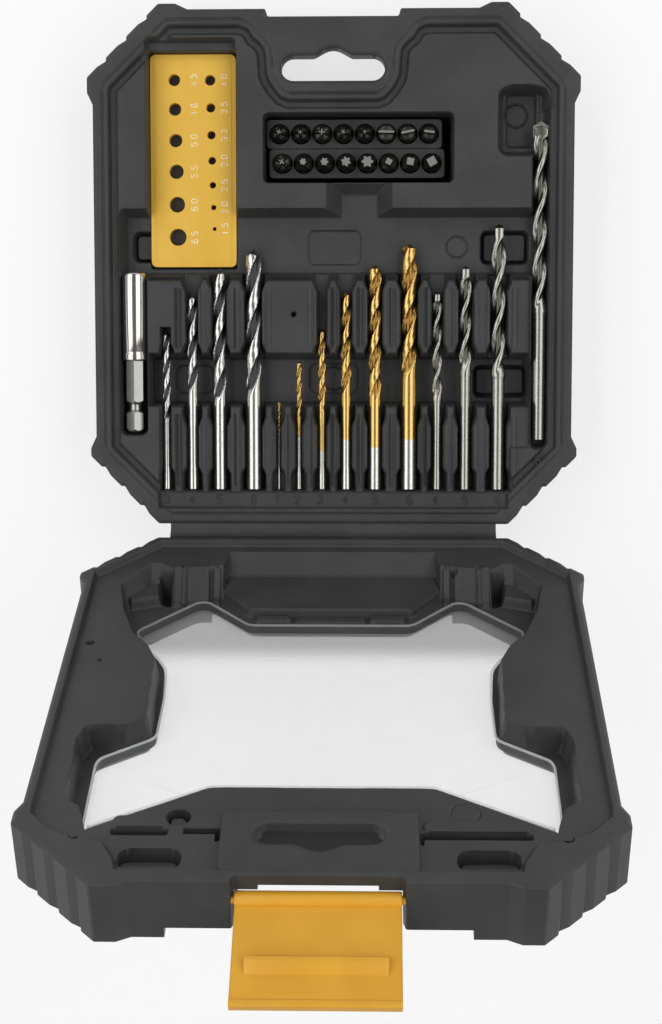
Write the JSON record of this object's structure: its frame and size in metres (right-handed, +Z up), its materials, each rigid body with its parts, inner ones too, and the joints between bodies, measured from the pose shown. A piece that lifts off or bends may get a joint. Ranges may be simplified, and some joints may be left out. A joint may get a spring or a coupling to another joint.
{
  "type": "drill bit case",
  "caption": "Open moulded case with a windowed, latched lid, holding drills, screwdriver bits, a magnetic bit holder and a drill gauge.",
  "frame": {"origin": "centre of the tray's flat underside, between its rear edge and its front edge", "axes": "+Z up out of the tray; -Y towards the latch side of the tray; +Y towards the hinge; +X to the right seen from the latch side"},
  "size_m": [0.1848, 0.3118, 0.2256],
  "materials": {
    "case": "matte",
    "window": "glossy",
    "yellow": "satin",
    "strip": "satin",
    "bit_steel": "satin",
    "polished_steel": "polished",
    "magnet": "satin",
    "drill_steel": "polished",
    "gold_steel": "polished",
    "masonry_steel": "satin",
    "carbide": "satin"
  },
  "bodies": {
    "tray": {"tray_shell": "case", "hinge_web": "case"},
    "lid": {"lid_frame": "case", "lid_window": "window"},
    "latch_flap": {"latch": "yellow"},
    "gauge": {"drill_gauge": "yellow"},
    "upper_strip": {"bit_strip_upper": "strip"},
    "lower_strip": {"bit_strip_lower": "strip"},
    "bit_holder": {"holder_sleeve": "polished_steel", "holder_shank": "bit_steel", "holder_magnet": "magnet"},
    "wood_drill_3mm": {"wood_drill_3mm": "drill_steel"},
    "wood_drill_4mm": {"wood_drill_4mm": "drill_steel"},
    "wood_drill_5mm": {"wood_drill_5mm": "drill_steel"},
    "wood_drill_6mm": {"wood_drill_6mm": "drill_steel"},
    "metal_drill_1mm": {"metal_drill_1mm": "gold_steel"},
    "metal_drill_2mm": {"metal_drill_2mm": "gold_steel"},
    "metal_drill_3mm": {"metal_drill_3mm": "gold_steel"},
    "metal_drill_4mm": {"metal_drill_4mm": "gold_steel"},
    "metal_drill_5mm": {"metal_drill_5mm": "gold_steel"},
    "metal_drill_6mm": {"metal_drill_6mm": "gold_steel"},
    "masonry_drill_4mm": {"masonry_drill_4mm": "masonry_steel", "carbide_tip_4mm": "carbide"},
    "masonry_drill_5mm": {"masonry_drill_5mm": "masonry_steel", "carbide_tip_5mm": "carbide"},
    "masonry_drill_6mm": {"masonry_drill_6mm": "masonry_steel", "carbide_tip_6mm": "carbide"},
    "masonry_drill_6mm_long": {"masonry_drill_6mm_long": "masonry_steel", "carbide_tip_6mm_long": "carbide"},
    "bit_upper_1": {"bit_upper_1": "bit_steel"},
    "bit_upper_2": {"bit_upper_2": "bit_steel"},
    "bit_upper_3": {"bit_upper_3": "bit_steel"},
    "bit_upper_4": {"bit_upper_4": "bit_steel"},
    "bit_upper_5": {"bit_upper_5": "bit_steel"},
    "bit_upper_6": {"bit_upper_6": "bit_steel"},
    "bit_upper_7": {"bit_upper_7": "bit_steel"},
    "bit_upper_8": {"bit_upper_8": "bit_steel"},
    "bit_lower_1": {"bit_lower_1": "bit_steel"},
    "bit_lower_2": {"bit_lower_2": "bit_steel"},
    "bit_lower_3": {"bit_lower_3": "bit_steel"},
    "bit_lower_4": {"bit_lower_4": "bit_steel"},
    "bit_lower_5": {"bit_lower_5": "bit_steel"},
    "bit_lower_6": {"bit_lower_6": "bit_steel"},
    "bit_lower_7": {"bit_lower_7": "bit_steel"},
    "bit_lower_8": {"bit_lower_8": "bit_steel"}
  },
  "joints": [
    {"name": "lid_hinge", "type": "hinge", "parent": "tray", "child": "lid", "pos_m": [0, 0.0994, 0.028], "axis": [-1, 0, 0], "range_deg": [-114.75, 0], "deforming": ["hinge_web"]},
    {"name": "latch_hinge", "type": "hinge", "parent": "lid", "child": "latch_flap", "pos_m": [0, 0.1887, 0.20045], "axis": [-1, 0, 0], "range_deg": [-107, 0]},
    {"name": "gauge_lift", "type": "slide", "parent": "tray", "child": "gauge", "axis": [0, 0, 1], "range_m": [0, 0.02]},
    {"name": "upper_strip_lift", "type": "slide", "parent": "tray", "child": "upper_strip", "axis": [0, 0, 1], "range_m": [0, 0.03]},
    {"name": "lower_strip_lift", "type": "slide", "parent": "tray", "child": "lower_strip", "axis": [0, 0, 1], "range_m": [0, 0.03]},
    {"name": "holder_lift", "type": "slide", "parent": "tray", "child": "bit_holder", "axis": [0, 0, 1], "range_m": [0, 0.02]},
    {"name": "wood_drill_3mm_lift", "type": "slide", "parent": "tray", "child": "wood_drill_3mm", "axis": [0, 0, 1], "range_m": [0, 0.02]},
    {"name": "wood_drill_4mm_lift", "type": "slide", "parent": "tray", "child": "wood_drill_4mm", "axis": [0, 0, 1], "range_m": [0, 0.02]},
    {"name": "wood_drill_5mm_lift", "type": "slide", "parent": "tray", "child": "wood_drill_5mm", "axis": [0, 0, 1], "range_m": [0, 0.02]},
    {"name": "wood_drill_6mm_lift", "type": "slide", "parent": "tray", "child": "wood_drill_6mm", "axis": [0, 0, 1], "range_m": [0, 0.02]},
    {"name": "metal_drill_1mm_lift", "type": "slide", "parent": "tray", "child": "metal_drill_1mm", "axis": [0, 0, 1], "range_m": [0, 0.02]},
    {"name": "metal_drill_2mm_lift", "type": "slide", "parent": "tray", "child": "metal_drill_2mm", "axis": [0, 0, 1], "range_m": [0, 0.02]},
    {"name": "metal_drill_3mm_lift", "type": "slide", "parent": "tray", "child": "metal_drill_3mm", "axis": [0, 0, 1], "range_m": [0, 0.02]},
    {"name": "metal_drill_4mm_lift", "type": "slide", "parent": "tray", "child": "metal_drill_4mm", "axis": [0, 0, 1], "range_m": [0, 0.02]},
    {"name": "metal_drill_5mm_lift", "type": "slide", "parent": "tray", "child": "metal_drill_5mm", "axis": [0, 0, 1], "range_m": [0, 0.02]},
    {"name": "metal_drill_6mm_lift", "type": "slide", "parent": "tray", "child": "metal_drill_6mm", "axis": [0, 0, 1], "range_m": [0, 0.02]},
    {"name": "masonry_drill_4mm_lift", "type": "slide", "parent": "tray", "child": "masonry_drill_4mm", "axis": [0, 0, 1], "range_m": [0, 0.02]},
    {"name": "masonry_drill_5mm_lift", "type": "slide", "parent": "tray", "child": "masonry_drill_5mm", "axis": [0, 0, 1], "range_m": [0, 0.02]},
    {"name": "masonry_drill_6mm_lift", "type": "slide", "parent": "tray", "child": "masonry_drill_6mm", "axis": [0, 0, 1], "range_m": [0, 0.02]},
    {"name": "masonry_drill_6mm_long_lift", "type": "slide", "parent": "tray", "child": "masonry_drill_6mm_long", "axis": [0, 0, 1], "range_m": [0, 0.02]},
    {"name": "bit_upper_1_lift", "type": "slide", "parent": "upper_strip", "child": "bit_upper_1", "axis": [0, 0, 1], "range_m": [0, 0.02]},
    {"name": "bit_upper_2_lift", "type": "slide", "parent": "upper_strip", "child": "bit_upper_2", "axis": [0, 0, 1], "range_m": [0, 0.02]},
    {"name": "bit_upper_3_lift", "type": "slide", "parent": "upper_strip", "child": "bit_upper_3", "axis": [0, 0, 1], "range_m": [0, 0.02]},
    {"name": "bit_upper_4_lift", "type": "slide", "parent": "upper_strip", "child": "bit_upper_4", "axis": [0, 0, 1], "range_m": [0, 0.02]},
    {"name": "bit_upper_5_lift", "type": "slide", "parent": "upper_strip", "child": "bit_upper_5", "axis": [0, 0, 1], "range_m": [0, 0.02]},
    {"name": "bit_upper_6_lift", "type": "slide", "parent": "upper_strip", "child": "bit_upper_6", "axis": [0, 0, 1], "range_m": [0, 0.02]},
    {"name": "bit_upper_7_lift", "type": "slide", "parent": "upper_strip", "child": "bit_upper_7", "axis": [0, 0, 1], "range_m": [0, 0.02]},
    {"name": "bit_upper_8_lift", "type": "slide", "parent": "upper_strip", "child": "bit_upper_8", "axis": [0, 0, 1], "range_m": [0, 0.02]},
    {"name": "bit_lower_1_lift", "type": "slide", "parent": "lower_strip", "child": "bit_lower_1", "axis": [0, 0, 1], "range_m": [0, 0.02]},
    {"name": "bit_lower_2_lift", "type": "slide", "parent": "lower_strip", "child": "bit_lower_2", "axis": [0, 0, 1], "range_m": [0, 0.02]},
    {"name": "bit_lower_3_lift", "type": "slide", "parent": "lower_strip", "child": "bit_lower_3", "axis": [0, 0, 1], "range_m": [0, 0.02]},
    {"name": "bit_lower_4_lift", "type": "slide", "parent": "lower_strip", "child": "bit_lower_4", "axis": [0, 0, 1], "range_m": [0, 0.02]},
    {"name": "bit_lower_5_lift", "type": "slide", "parent": "lower_strip", "child": "bit_lower_5", "axis": [0, 0, 1], "range_m": [0, 0.02]},
    {"name": "bit_lower_6_lift", "type": "slide", "parent": "lower_strip", "child": "bit_lower_6", "axis": [0, 0, 1], "range_m": [0, 0.02]},
    {"name": "bit_lower_7_lift", "type": "slide", "parent": "lower_strip", "child": "bit_lower_7", "axis": [0, 0, 1], "range_m": [0, 0.02]},
    {"name": "bit_lower_8_lift", "type": "slide", "parent": "lower_strip", "child": "bit_lower_8", "axis": [0, 0, 1], "range_m": [0, 0.02]}
  ]
}
